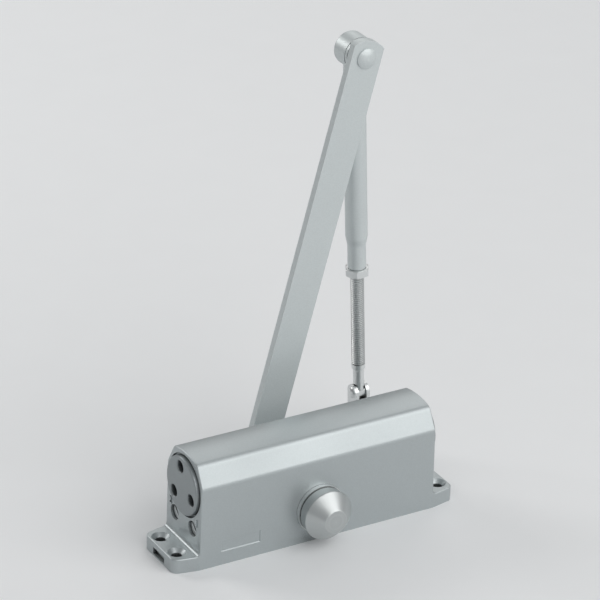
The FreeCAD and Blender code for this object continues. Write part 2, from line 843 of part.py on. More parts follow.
def forearm_tube():
    outer = tube_diameter / 2
    end = tube_end_diameter / 2
    bore = tube_bore / 2
    thread = rod_diameter / 2 + running_clearance
    profile = [
        (bore, neck_length),
        (outer, neck_length),
        (outer, tube_step_start),
        (end, tube_step_end),
        (end, tube_length_end),
        (thread, tube_length_end),
        (thread, tube_step_end),
        (bore, tube_step_start),
    ]
    points = [forearm_axis(distance) + x_axis * radius for radius, distance in profile]
    return hang_forearm(turned(points, forearm_axis(0), z_axis))


def lock_nut():
    start = forearm_axis(tube_length_end + nut_height)
    blank = hexagon(nut_size, nut_height, start, z_axis, x_axis)
    corner = 2 * nut_size / math.sqrt(3)
    middle_height = start + z_axis * (nut_height / 2)
    for outwards in (z_axis, -z_axis):
        base = middle_height + outwards * (nut_height / 2 - nut_chamfer)
        crown = cone_shape(corner, corner - 4 * nut_chamfer, nut_chamfer, base, outwards)
        below = rod_shape(2 * nut_size, 2 * nut_height, base, -outwards)
        blank = blank.common(crown.fuse(below))
    bore = rod_shape(rod_diameter + 2 * running_clearance, 2 * tube_length_end, start - z_axis, z_axis)
    return hang_forearm(blank.cut(bore))


def threaded_rod():
    thread = rod_diameter / 2
    neck = rod_neck_diameter / 2
    profile = [
        (0, rod_start),
        (thread - rod_end_chamfer, rod_start),
        (thread, rod_start + rod_end_chamfer),
        (thread, rod_thread_end - rod_end_chamfer),
        (neck, rod_thread_end),
        (neck, rod_eye_start),
        (0, rod_eye_start),
    ]
    points = [forearm_axis(distance) + x_axis * radius for radius, distance in profile]
    shank = turned(points, forearm_axis(0), z_axis)
    half = eye_thickness / 2
    pin_start = forearm_axis(pin_distance) - x_axis * half
    eye = rod_shape(eye_width, eye_thickness, pin_start, x_axis)
    strap = box_shape(
        (-half, half),
        (forearm_y - eye_width / 2, forearm_y + eye_width / 2),
        (-pin_distance, -rod_eye_start),
    )
    root = cone_shape(rod_neck_diameter, eye_width, pin_distance - rod_eye_start,
                      forearm_axis(rod_eye_start), -z_axis)
    strap = strap.common(root.fuse(rod_shape(eye_width, eye_width, forearm_axis(pin_distance), -z_axis)))
    pin_hole = rod_shape(yoke_pin_diameter + 2 * running_clearance, 2 * eye_width,
                         pin_start - x_axis * eye_width, x_axis)
    return hang_forearm(shank.fuse([eye, strap]).cut(pin_hole))


def shoe_yoke():
    inside = eye_thickness / 2 + eye_side_clearance
    outside = inside + ear_thickness
    centre = forearm_axis(pin_distance)
    underside = -pin_distance - yoke_drop
    slot_floor = -pin_distance - eye_width / 2 - eye_end_clearance
    width = (forearm_y - yoke_width / 2, forearm_y + yoke_width / 2)
    block = box_shape((-outside, outside), width, (underside, -pin_distance))
    base_rim = edges_where(block, lambda e: abs(middle(e).z - underside) < match_tolerance)
    block = block.makeFillet(yoke_edge_radius, base_rim)
    ears = rod_shape(yoke_width, 2 * outside, centre - x_axis * outside, x_axis)
    slot = box_shape((-inside, inside), (0, 2 * forearm_y), (slot_floor, yoke_width - pin_distance))
    pin_hole = rod_shape(yoke_pin_diameter + 2 * seated_clearance, 4 * outside,
                         centre - x_axis * (2 * outside), x_axis)
    stud_hole = rod_shape(stud_diameter + 2 * seated_clearance, stud_reach + cut_margin,
                          vector(0, forearm_y, underside - cut_margin), z_axis)
    return hang_forearm(block.fuse(ears).cut([slot, pin_hole, stud_hole]))


def yoke_pin():
    outside = eye_thickness / 2 + eye_side_clearance + ear_thickness
    centre = forearm_axis(pin_distance)
    shank = rod_shape(yoke_pin_diameter, 2 * outside, centre - x_axis * outside, x_axis)
    heads = []
    for side in (-1, 1):
        outwards = x_axis * side
        seat = centre + outwards * outside
        heads.append(domed_head(yoke_pin_head_diameter, yoke_pin_head_height, seat, outwards))
    return hang_forearm(shank.fuse(heads))


def shoe_washer():
    base = forearm_axis(pin_distance + yoke_drop + stud_washer_thickness)
    bore = stud_diameter + 2 * seated_clearance
    return hang_forearm(ring_shape(stud_washer_diameter, bore, stud_washer_thickness, base, z_axis))


def shoe_stud():
    base = forearm_axis(shoe_bottom - stud_head_inset)
    top = -pin_distance - yoke_drop + stud_reach - seated_clearance
    shank = rod_shape(stud_diameter, top - base.z, base, z_axis)
    head_height = (stud_head_diameter - stud_diameter) / 2
    head = cone_shape(stud_head_diameter, stud_diameter, head_height, base, z_axis)
    return hang_forearm(shank.fuse(head))


def shoe_plate():
    top = -shoe_top
    bottom = -shoe_bottom
    plate = box_shape(
        (-shoe_width / 2, shoe_width / 2),
        (forearm_y - shoe_length / 2, forearm_y + shoe_length / 2),
        (bottom, top),
    )
    plate = plate.makeFillet(shoe_corner_radius, edges_where(plate, lambda e: is_along(e, z_axis)))
    top_rim = edges_where(plate, lambda e: abs(middle(e).z - top) < match_tolerance)
    plate = plate.makeFillet(shoe_edge_radius, top_rim)
    base = forearm_axis(shoe_bottom)
    through = shoe_thickness + 2 * cut_margin
    stud_bore = stud_diameter + 2 * running_clearance
    stud_sink = stud_head_diameter + 2 * running_clearance + 2 * stud_head_inset
    cuts = [
        rod_shape(stud_bore, through, base - z_axis * cut_margin, z_axis),
        cone_shape(stud_sink, stud_bore, (stud_sink - stud_bore) / 2, base, z_axis),
    ]
    sink_depth = (shoe_sink_diameter - shoe_hole_diameter) / 2
    for side in (-1, 1):
        hole = base + y_axis * (side * shoe_hole_spacing / 2)
        cuts.append(rod_shape(shoe_hole_diameter, through, hole - z_axis * cut_margin, z_axis))
        sink_start = hole + z_axis * (shoe_thickness - sink_depth)
        cuts.append(cone_shape(shoe_hole_diameter, shoe_sink_diameter, sink_depth, sink_start, z_axis))
    return hang_forearm(plate.cut(cuts))


# Fixed pieces
save("body_housing", body_housing())
save("end_plug_left", end_plug(-1, False))
save("end_plug_right", end_plug(1, True))
save("plug_seals", plug_seal(-1), plug_seal(1))
save("bearing_covers", bearing_cover(-1), bearing_cover(1))
save("shaft_seals", shaft_seal(-1), shaft_seal(1))
save("thrust_washers", thrust_washer(-1), thrust_washer(1))
save("pinion_cap", pinion_cap())
save("return_spring", return_spring())

# Regulating valves
save("closing_speed_valve", regulating_valve(-1))
save("closing_valve_seal", valve_seal(-1))
save("latching_speed_valve", regulating_valve(1))
save("latching_valve_seal", valve_seal(1))

# Piston
save("piston", piston())
save("piston_seal", piston_seal())
save("check_retainer", check_retainer())
save("check_ball", check_ball())

# Pinion and main arm
save("pinion_shaft", pinion_shaft())
save("main_arm", main_arm())
save("arm_washer", arm_washer())
save("arm_screw", arm_screw())
save("elbow_rivet", elbow_rivet())
save("elbow_washer", elbow_washer())

# Forearm and rod
save("elbow_bush", elbow_bush())
save("forearm_knuckle", forearm_knuckle())
save("forearm_tube", forearm_tube())
save("lock_nut", lock_nut())
save("threaded_rod", threaded_rod())

# Foot
save("shoe_yoke", shoe_yoke())
save("yoke_pin", yoke_pin())
save("shoe_stud", shoe_stud())
save("shoe_washer", shoe_washer())
save("shoe_plate", shoe_plate())
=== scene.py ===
"""Studio looks of an overhead door closer, set around its construction model.

Lengths are metres in the frame of that model: the origin is the centre of the mounting face,
X runs along the cylinder, Y along the pinion towards the arm and Z away from the mounting face.
"""

import json
import math

import bmesh
import bpy
from mathutils import Matrix, Vector

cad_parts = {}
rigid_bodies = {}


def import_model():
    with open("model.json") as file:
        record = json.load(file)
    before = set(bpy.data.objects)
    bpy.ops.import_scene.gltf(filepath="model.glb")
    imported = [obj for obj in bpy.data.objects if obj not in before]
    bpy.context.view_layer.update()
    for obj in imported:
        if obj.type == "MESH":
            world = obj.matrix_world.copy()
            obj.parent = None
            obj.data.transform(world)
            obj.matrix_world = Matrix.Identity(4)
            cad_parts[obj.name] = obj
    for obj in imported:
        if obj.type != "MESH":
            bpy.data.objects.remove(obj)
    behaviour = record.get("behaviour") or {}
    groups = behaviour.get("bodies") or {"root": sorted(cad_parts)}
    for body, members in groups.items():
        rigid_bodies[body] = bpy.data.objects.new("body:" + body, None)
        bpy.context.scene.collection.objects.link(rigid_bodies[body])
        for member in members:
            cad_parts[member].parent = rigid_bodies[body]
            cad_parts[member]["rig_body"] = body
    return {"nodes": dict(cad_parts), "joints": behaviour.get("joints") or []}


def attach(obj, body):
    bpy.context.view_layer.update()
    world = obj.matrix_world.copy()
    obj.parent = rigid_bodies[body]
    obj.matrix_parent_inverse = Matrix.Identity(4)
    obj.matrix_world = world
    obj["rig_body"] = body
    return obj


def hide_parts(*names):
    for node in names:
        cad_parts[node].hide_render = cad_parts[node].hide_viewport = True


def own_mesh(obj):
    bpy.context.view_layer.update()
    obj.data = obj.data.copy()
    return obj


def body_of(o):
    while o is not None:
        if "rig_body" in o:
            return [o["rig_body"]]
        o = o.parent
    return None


bl_info = {
    "name": "Door Closer Looks",
    "version": (1, 0, 0),
    "blender": (4, 5, 0),
    "location": "3D View > Sidebar > Closer",
    "description": "Finishes, fine detail and a studio stage for an overhead door closer",
    "category": "Object",
}

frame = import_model()
nodes = frame["nodes"]
joints = {joint["name"]: joint for joint in frame["joints"]}
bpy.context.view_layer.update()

# Name of the finish that each material slot of the record gets
FINISHES = {
    "cast_body": "casting_paint",
    "end_plugs": "plug_paint",
    "turned_cap": "turned_aluminium",
    "painted_arm": "arm_paint",
    "zinc_steel": "bright_zinc",
    "machined_steel": "ground_steel",
    "spring_steel": "tempered_wire",
    "bearing_bronze": "plain_bronze",
    "seal_rubber": "nitrile_rubber",
}
# Plain pieces that get rounded edges, with their material slots
ROUNDED = {
    "end_plug_left": "end_plugs",
    "end_plug_right": "end_plugs",
    "closing_speed_valve": "zinc_steel",
    "latching_speed_valve": "zinc_steel",
    "main_arm": "painted_arm",
    "elbow_washer": "painted_arm",
    "forearm_knuckle": "painted_arm",
    "forearm_tube": "painted_arm",
    "lock_nut": "zinc_steel",
    "shoe_yoke": "zinc_steel",
    "arm_screw": "zinc_steel",
    "pinion_cap": "turned_cap",
    "bearing_covers": "zinc_steel",
}
# Soft lamps: name, place, size and the stage setting that holds the power
LAMPS = (
    ("key_lamp", (0.75, -1.70, 1.40), (2.8, 2.1), "key_power"),
    ("back_lamp", (0.90, 1.20, 1.35), (1.4, 1.3), "back_power"),
    ("rim_lamp", (-0.72, 1.23, 0.83), (0.7, 0.5), "rim_power"),
)
LAMP_COLOUR = (1.0, 0.985, 0.97)
LAMP_AIM = Vector((0.0, 0.0, 0.10))
SKY_COLOUR = (0.96, 0.985, 1.0, 1.0)
BRIGHT_SIDE = Vector((0.30, -0.70, 0.65))
SENSOR_WIDTH = 36.0

# One turn of the thread, from root to root: share of the pitch and share of the depth
THREAD_PROFILE = ((0.0, 0.0), (0.125, 0.0), (0.47, 1.0), (0.60, 1.0), (0.95, 0.0), (1.0, 0.0))
# Turns of the thread that the plain end of the rod reaches into
TAIL_OVERLAP = 2

# Where the body's left end face is looked for, in metres
END_FACE_X = -0.076
END_FACE_SLACK = 0.0005
END_ZONE_X = -0.070
END_ZONE_Z = 0.020
FLANGE_TOP = 0.0085

# Angles in degrees over which an edge stays sharp, is rounded or counts as flat
SHARP_ANGLE = 40.0
THREAD_SHARP_ANGLE = 32.0
DIGIT_SHARP_ANGLE = 30.0
ROUND_ANGLE = 38.0
FLAT_ANGLE = 0.2

# Height of a digit as a share of its font size
DIGIT_SHARE = 0.7
# Least share of a normal along an axis for a face that looks that way
FACING = 0.9
START_SIZE = 0.001
TINY = 1e-6


def length(label, words, size):
    """A length in metres that a user may change."""
    return bpy.props.FloatProperty(
        name=label, description=words, default=size, min=0.0, precision=5, unit="LENGTH")


def place(label, words, point):
    """A point in metres that a user may change."""
    return bpy.props.FloatVectorProperty(
        name=label, description=words, default=point, size=3, precision=5, subtype="TRANSLATION")


def angle(label, words, degrees):
    """An angle that a user may change."""
    return bpy.props.FloatProperty(
        name=label, description=words, default=math.radians(degrees), subtype="ANGLE")


def colour(label, words, shade):
    """A linear colour that a user may change."""
    return bpy.props.FloatVectorProperty(
        name=label, description=words, default=shade, size=3, min=0.0, max=1.0, subtype="COLOR")


def amount(label, words, value):
    """A plain number that a user may change."""
    return bpy.props.FloatProperty(name=label, description=words, default=value, min=0.0)


class CloserSizes(bpy.types.PropertyGroup):
    """Sizes of the fine detail that the construction model leaves out."""

    name_place_middle: place(
        "Name place", "Middle of the bare name place, on the body's front", (-0.0501, -0.0200, 0.0120))
    name_place_width: length("Name place width", "Length of the name place's floor", 0.0240)
    name_place_height: length("Name place height", "Height of the name place's floor", 0.0066)
    name_place_depth: length("Name place depth", "How far the name place is sunk", 0.0005)
    name_place_slope: length(
        "Name place slope", "Width of the sloping wall round the name place", 0.0004)
    mark_height: length("Mark height", "Height of the raised digit beside each valve", 0.0044)
    mark_relief: length("Mark relief", "How far a digit stands out of the end face", 0.0005)
    mark_level: length("Mark level", "Height of the digits above the mounting face", 0.0274)
    mark_spread: length("Mark spread", "Distance of each digit from the middle of the end face", 0.0154)
    edge_round: length("Edge round", "Width of the rounding on the pieces' outer edges", 0.0003)
    thread_pitch: length("Thread pitch", "Rise of the rod's thread in one turn", 0.00125)
    thread_depth: length("Thread depth", "Depth of the rod's thread", 0.00068)
    thread_length: length("Thread length", "Length of the rod's thread", 0.1056)
    thread_sides: bpy.props.IntProperty(
        name="Thread sides", description="Straight steps in one turn of the thread", default=32, min=8)


class CloserColours(bpy.types.PropertyGroup):
    """Colours of the finishes."""

    casting: colour("Casting paint", "Silver paint on the cast body", (0.485, 0.525, 0.535))
    plug: colour("Plug paint", "Satin silver paint on the end plugs", (0.33, 0.36, 0.37))
    arm: colour("Arm paint", "Silver paint on the arms and the shoe", (0.635, 0.68, 0.685))
    cap: colour(
        "Turned aluminium", "Satin turned cap over the free end of the pinion", (0.56, 0.585, 0.585))
    zinc: colour("Bright zinc", "Zinc plate on the fasteners, rod and clevis", (0.74, 0.76, 0.76))
    ground: colour("Ground steel", "Oiled steel of the pinion and the piston", (0.50, 0.50, 0.49))
    wire: colour("Tempered wire", "Dark steel of the return spring", (0.10, 0.10, 0.11))
    bronze: colour("Bronze", "Thrust washers and elbow bush", (0.55, 0.34, 0.14))
    rubber: colour("Rubber", "Seals", (0.02, 0.02, 0.02))
    floor: colour("Floor", "Pale studio floor, as it shows", (0.86, 0.87, 0.88))
    bounce: colour("Floor bounce", "Floor, as it lights the object from below", (0.50, 0.51, 0.52))


class CloserStage(bpy.types.PropertyGroup):
    """Camera and light of the studio."""

    view_target: place("View target", "Point at the middle of the picture", (-0.00503, 0.0, 0.14263))
    view_turn: angle("View turn", "Camera's turn about Z, from straight in front", -30.709)
    view_rise: angle("View rise", "Camera's angle above the floor", 26.590)
    view_roll: angle("View roll", "Camera's roll about its own line of sight", 1.800)
    view_distance: length("View distance", "Distance from the camera to its target", 1.84716)
    view_lens: amount("Lens", "Focal length on a 36 mm sensor, in millimetres", 202.0)
    floor_size: length("Floor size", "Side of the square floor", 16.0)
    key_power: amount("Key power", "Power of the large soft lamp in front, in watts", 31.0)
    back_power: amount("Back power", "Power of the soft lamp behind on the right, in watts", 5.5)
    rim_power: amount("Rim power", "Power of the soft lamp behind on the left, in watts", 6.0)
    sky_bright: amount("Bright sky", "Strength of the backdrop on the key lamp's side", 0.50)
    sky_dark: amount("Dark sky", "Strength of the backdrop on the other side", 0.14)


# Selecting and shaping

def make_active(piece):
    """Select one object and nothing else, in object mode."""
    if bpy.context.mode != "OBJECT":
        bpy.ops.object.mode_set(mode="OBJECT")
    bpy.ops.object.select_all(action="DESELECT")
    piece.select_set(True)
    bpy.context.view_layer.objects.active = piece


def clear_selection():
    """Deselect every object and leave edit mode."""
    if bpy.context.mode != "OBJECT":
        bpy.ops.object.mode_set(mode="OBJECT")
    bpy.ops.object.select_all(action="DESELECT")


def edit_all(piece):
    """Open a piece in edit mode with all of it selected."""
    make_active(piece)
    bpy.ops.object.mode_set(mode="EDIT")
    bpy.ops.mesh.select_mode(type="VERT")
    bpy.ops.mesh.select_all(action="SELECT")


def close_edit():
    """Go back to object mode."""
    bpy.ops.object.mode_set(mode="OBJECT")


def pick(piece, kind, test):
    """In edit mode, select only the faces, edges or vertices that pass a test."""
    bpy.ops.mesh.select_mode(type=kind)
    bpy.ops.mesh.select_all(action="DESELECT")
    mesh = bmesh.from_edit_mesh(piece.data)
    parts = {"FACE": mesh.faces, "EDGE": mesh.edges, "VERT": mesh.verts}[kind]
    for part in parts:
        part.select_set(test(part))
    mesh.select_flush_mode()
    bmesh.update_edit_mesh(piece.data)


def apply_modifier(piece, kind, **settings):
    """Add a modifier with its settings and apply it."""
    modifier = piece.modifiers.new(kind.title(), kind)
    for name, value in settings.items():
        setattr(modifier, name, value)
    make_active(piece)
    bpy.ops.object.modifier_apply(modifier=modifier.name)


def set_in_place(piece, matrix):
    """Write a placement into a piece's mesh and leave its object at the origin."""
    piece.matrix_world = matrix
    make_active(piece)
    bpy.ops.object.transform_apply(location=True, rotation=True, scale=True)


def copy_of_node(node, name):
    """A merged copy of a construction node, with flat faces in one piece."""
    piece = bpy.data.objects.new(name, nodes[node].data.copy())
    piece.data.name = name
    piece.data.materials.clear()
    bpy.context.scene.collection.objects.link(piece)
    edit_all(piece)
    bpy.ops.mesh.customdata_custom_splitnormals_clear()
    bpy.ops.mesh.remove_doubles(threshold=TINY)
    bpy.ops.mesh.dissolve_limited(angle_limit=math.radians(FLAT_ANGLE))
    close_edit()
    return piece


def smooth(piece, degrees):
    """Smooth shading that keeps edges over an angle sharp and flat faces flat."""
    make_active(piece)
    bpy.ops.object.shade_smooth_by_angle(angle=math.radians(degrees))
    apply_modifier(piece, "WEIGHTED_NORMAL", keep_sharp=True, weight=100)


def round_edges(piece, width):
    """Round every sharp edge of a piece by a width."""
    apply_modifier(piece, "BEVEL", width=width, segments=2, limit_method="ANGLE",
                   angle_limit=math.radians(ROUND_ANGLE), harden_normals=False)
    smooth(piece, SHARP_ANGLE)


def draw_profile(name, points):
    """An open line through points, drawn by extruding one vertex."""
    clear_selection()
    bpy.ops.mesh.primitive_plane_add(size=START_SIZE, location=(0, 0, 0))
    piece = bpy.context.active_object
    piece.name = name
    piece.data.name = name
    edit_all(piece)
    bpy.ops.mesh.merge(type="CENTER")
    bpy.ops.transform.translate(value=points[0])
    for last, point in zip(points, points[1:]):
        step = tuple(b - a for a, b in zip(last, point))
        bpy.ops.mesh.extrude_region_move(TRANSFORM_OT_translate={"value": step})
    close_edit()
    return piece


def dress(piece, body, slot, *replaced):
    """Give a finished piece its finish, its body and the nodes that it stands for."""
    piece.data.materials.clear()
    piece.data.materials.append(bpy.data.materials[FINISHES[slot]])
    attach(piece, body)
    if replaced:
        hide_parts(*replaced)


# Shader building

def add_node(tree, kind, **settings):
    """A new shader node with its settings."""
    node = tree.nodes.new(kind)
    for name, value in settings.items():
        setattr(node, name, value)
    return node


def feed(tree, node, **inputs):
    """Set or link a node's inputs, named with _ in place of spaces."""
    for name, value in inputs.items():
        socket = node.inputs[name.replace("_", " ")]
        if isinstance(value, bpy.types.NodeSocket):
            tree.links.new(value, socket)
        else:
            socket.default_value = value
    return node


def maths(tree, operation, first, second=0.0, clamp=False):
    """Result of a two-number calculation."""
    node = add_node(tree, "ShaderNodeMath", operation=operation, use_clamp=clamp)
    for socket, value in zip(node.inputs, (first, second)):
        if isinstance(value, bpy.types.NodeSocket):
            tree.links.new(value, socket)
        else:
            socket.default_value = value
    return node.outputs[0]


def scaled(tree, mask, share):
    """A mask made weaker by a share."""
    return maths(tree, "MULTIPLY", mask, share)


def ranged(tree, value, low, high, to_low, to_high):
    """A value moved from one range to another and kept inside it."""
    node = add_node(tree, "ShaderNodeMapRange")
    feed(tree, node, Value=value, From_Min=low, From_Max=high, To_Min=to_low, To_Max=to_high)
    return node.outputs["Result"]


def mixed(tree, factor, first, second):
    """Two colours mixed by a factor."""
    node = add_node(tree, "ShaderNodeMix", data_type="RGBA")
    for index, value in ((0, factor), (6, first), (7, second)):
        if isinstance(value, bpy.types.NodeSocket):
            tree.links.new(value, node.inputs[index])
        else:
            node.inputs[index].default_value = value
    return node.outputs[2]


def shade(rgb, factor=1.0):
    """A colour made lighter or darker, with full alpha."""
    return tuple(min(1.0, part * factor) for part in rgb) + (1.0,)


def varied(tree, mask, rgb, darkest, lightest):
    """A colour that a mask makes darker or lighter, by shares of itself."""
    return mixed(tree, mask, shade(rgb, darkest), shade(rgb, lightest))


def wear_glint_and_shade(tree, rgb, body, edge, rubbed_and_glint, painted_shade, shade_share):
    """A colour with lighter edges, from wear and a painted highlight, and darker hollows, from painted
    shade, by masks and shares of a plain colour.
    """
    lighter = mixed(tree, edge, body, shade(rgb, rubbed_and_glint))
    return mixed(tree, painted_shade, lighter, shade(rgb, shade_share))


def new_group(name, inputs, outputs):
    """An empty node group with named sockets, and its two end nodes."""
    group = bpy.data.node_groups.new(name, "ShaderNodeTree")
    for label, kind, value in inputs:
        socket = group.interface.new_socket(name=label, in_out="INPUT", socket_type=kind)
        if value is not None:
            socket.default_value = value
    for label in outputs:
        group.interface.new_socket(name=label, in_out="OUTPUT", socket_type="NodeSocketFloat")
    return group, add_node(group, "NodeGroupInput"), add_node(group, "NodeGroupOutput")


def place_group(tree, name, **inputs):
    """A node group placed in a material with its own values."""
    node = add_node(tree, "ShaderNodeGroup", node_tree=bpy.data.node_groups[name])
    return feed(tree, node, **inputs)


def make_paint_grain():
    """Metal flake and the slight orange peel of sprayed paint."""
    group, start, end = new_group(
        "paint_grain",
        (("Vector", "NodeSocketVector", None), ("Flake size", "NodeSocketFloat", 0.0005),
         ("Peel size", "NodeSocketFloat", 0.004)),
        ("Flake", "Peel", "Cloud"))
    flake_scale = maths(group, "DIVIDE", 1.0, start.outputs["Flake size"])
    flake = add_node(group, "ShaderNodeTexVoronoi", feature="F1")
    feed(group, flake, Vector=start.outputs["Vector"], Scale=flake_scale)
    glint = add_node(group, "ShaderNodeSeparateColor")
    feed(group, glint, Color=flake.outputs["Color"])
    peel_scale = maths(group, "DIVIDE", 1.0, start.outputs["Peel size"])
    peel = add_node(group, "ShaderNodeTexNoise")
    feed(group, peel, Vector=start.outputs["Vector"], Scale=peel_scale, Detail=2.0)
    cloud = add_node(group, "ShaderNodeTexNoise")
    feed(group, cloud, Vector=start.outputs["Vector"], Scale=22.0, Detail=3.0)
    feed(group, end, Flake=glint.outputs["Red"], Peel=peel.outputs["Fac"], Cloud=cloud.outputs["Fac"])


def make_edge_wear_and_glint():
    """Mask of the outward edges, broken up as rubbing breaks a finish; it lightens them as wear and as a
    painted edge highlight.
    """
    group, start, end = new_group(
        "edge_wear",
        (("Vector", "NodeSocketVector", None), ("Width", "NodeSocketFloat", 0.0006)),
        ("Edge",))
    rounded = add_node(group, "ShaderNodeBevel", samples=6)
    feed(group, rounded, Radius=start.outputs["Width"])
    flat = add_node(group, "ShaderNodeNewGeometry")
    facing = add_node(group, "ShaderNodeVectorMath", operation="DOT_PRODUCT")
    group.links.new(rounded.outputs["Normal"], facing.inputs[0])
    group.links.new(flat.outputs["Normal"], facing.inputs[1])
    turn = maths(group, "SUBTRACT", 1.0, facing.outputs["Value"])
    rub = add_node(group, "ShaderNodeTexNoise")
    feed(group, rub, Vector=start.outputs["Vector"], Scale=420.0, Detail=4.0)
    broken = ranged(group, rub.outputs["Fac"], low=0.35, high=0.65, to_low=0.25, to_high=1.0)
    strong = ranged(group, turn, low=0.02, high=0.16, to_low=0.0, to_high=1.0)
    feed(group, end, Edge=maths(group, "MULTIPLY", strong, broken))


def make_painted_hollow_shade():
    """Mask of deep hollows and narrow gaps, found by ambient occlusion, for painted shade in them."""
    group, start, end = new_group(
        "crevice_grime",
        (("Reach", "NodeSocketFloat", 0.004), ("Open", "NodeSocketFloat", 0.46)),
        ("Grime",))
    hollow = add_node(group, "ShaderNodeAmbientOcclusion", samples=8)
    feed(group, hollow, Distance=start.outputs["Reach"])
    shade_mask = ranged(
        group, hollow.outputs["AO"], low=0.20, high=start.outputs["Open"], to_low=1.0, to_high=0.0)
    feed(group, end, Grime=shade_mask)


def make_turned_lines():
    """Fine rings about Z, as a lathe tool leaves them."""
    group, start, end = new_group(
        "turned_lines",
        (("Vector", "NodeSocketVector", None), ("Pitch", "NodeSocketFloat", 0.0004)),
        ("Rings", "Bands"))
    parts = add_node(group, "ShaderNodeSeparateXYZ")
    feed(group, parts, Vector=start.outputs["Vector"])
    across = maths(group, "POWER", parts.outputs["X"], 2.0)
    upward = maths(group, "POWER", parts.outputs["Y"], 2.0)
    radius = maths(group, "SQRT", maths(group, "ADD", across, upward))
    travel = maths(group, "ADD", radius, parts.outputs["Z"])
    count = maths(group, "DIVIDE", travel, start.outputs["Pitch"])
    ring = add_node(group, "ShaderNodeTexNoise", noise_dimensions="1D")
    feed(group, ring, W=count, Scale=1.0, Detail=1.0)
    band = add_node(group, "ShaderNodeTexNoise", noise_dimensions="1D")
    feed(group, band, W=scaled(group, count, share=0.16), Scale=1.0, Detail=2.0)
    feed(group, end, Rings=ring.outputs["Fac"], Bands=band.outputs["Fac"])


def make_fine_mottle():
    """Cloudy spangle of plated or oiled metal, with soft smudges."""
    group, start, end = new_group(
        "fine_mottle",
        (("Vector", "NodeSocketVector", None), ("Spangle size", "NodeSocketFloat", 0.0012)),
        ("Spangle", "Smudge"))
    scale = maths(group, "DIVIDE", 1.0, start.outputs["Spangle size"])
    spangle = add_node(group, "ShaderNodeTexNoise")
    feed(group, spangle, Vector=start.outputs["Vector"], Scale=scale, Detail=3.0)
    smudge = add_node(group, "ShaderNodeTexNoise")
    feed(group, smudge, Vector=start.outputs["Vector"], Scale=65.0, Detail=4.0)
    feed(group, end, Spangle=spangle.outputs["Fac"], Smudge=smudge.outputs["Fac"])


def new_finish(name):
    """An empty material with its tree, its shader and its object coordinates."""
    material = bpy.data.materials.new(name)
    material.use_nodes = True
    tree = material.node_tree
    where = add_node(tree, "ShaderNodeTexCoord").outputs["Object"]
    return tree, tree.nodes["Principled BSDF"], where


def bumped(tree, height, depth):
    """Normal of a surface raised by a height."""
    bump = add_node(tree, "ShaderNodeBump")
    feed(tree, bump, Height=height, Distance=depth)
    return bump.outputs["Normal"]


def make_silver_paint(name, rgb, roughness, peel_depth, metallic):
    """Sprayed silver paint: flake, orange peel, edges lightened by rubbing and by a painted highlight,
    and painted shade in the hollows.
    """
    tree, shader, where = new_finish(name)
    grain = place_group(tree, "paint_grain", Vector=where)
    # Lighter edges: rubbed wear of the finish and a painted edge highlight.
    wear_and_glint = place_group(tree, "edge_wear", Vector=where)
    # Painted shade: the colour goes dark in hollows and gaps that ambient occlusion finds.
    shade_in_hollows = place_group(tree, "crevice_grime", Reach=0.012)
    flaked = varied(tree, grain.outputs["Flake"], rgb, darkest=0.955, lightest=1.045)
    clouded = varied(tree, grain.outputs["Cloud"], rgb, darkest=0.97, lightest=1.03)
    body = mixed(tree, factor=0.4, first=flaked, second=clouded)
    edge = scaled(tree, wear_and_glint.outputs["Edge"], share=0.55)
    painted_shade = scaled(tree, shade_in_hollows.outputs["Grime"], share=0.95)
    feed(tree, shader, Base_Color=wear_glint_and_shade(
        tree, rgb, body, edge, rubbed_and_glint=1.25, painted_shade=painted_shade, shade_share=0.04))
    gloss = ranged(tree, grain.outputs["Cloud"], low=0.3, high=0.7,
                   to_low=roughness - 0.03, to_high=roughness + 0.04)
    feed(tree, shader, Roughness=maths(tree, "ADD", gloss, scaled(tree, painted_shade, share=0.45)))
    feed(tree, shader, Normal=bumped(tree, grain.outputs["Peel"], peel_depth))
    feed(tree, shader, Metallic=metallic)


def make_turned_aluminium(name, rgb, axis_height):
    """Satin aluminium turned about the pinion's axis."""
    tree, shader, where = new_finish(name)
    centred = add_node(tree, "ShaderNodeMapping", vector_type="POINT")
    feed(tree, centred, Vector=where, Location=(0.0, -axis_height, 0.0))
    centred.inputs["Rotation"].default_value = (-math.pi / 2, 0.0, 0.0)
    lines = place_group(tree, "turned_lines", Vector=centred.outputs["Vector"])
    # Lighter edges: rubbed wear of the finish and a painted edge highlight.
    wear_and_glint = place_group(tree, "edge_wear", Vector=where, Width=0.0004)
    # Painted shade: the colour goes dark in hollows and gaps that ambient occlusion finds.
    shade_in_hollows = place_group(tree, "crevice_grime", Reach=0.002)
    body = varied(tree, lines.outputs["Bands"], rgb, darkest=0.9, lightest=1.06)
    edge = scaled(tree, wear_and_glint.outputs["Edge"], share=0.6)
    painted_shade = shade_in_hollows.outputs["Grime"]
    feed(tree, shader, Base_Color=wear_glint_and_shade(
        tree, rgb, body, edge, rubbed_and_glint=1.2, painted_shade=painted_shade, shade_share=0.05))
    feed(tree, shader, Roughness=ranged(
        tree, lines.outputs["Rings"], low=0.3, high=0.7, to_low=0.34, to_high=0.44))
    feed(tree, shader, Normal=bumped(tree, lines.outputs["Rings"], 0.00003))
    feed(tree, shader, Metallic=1.0)


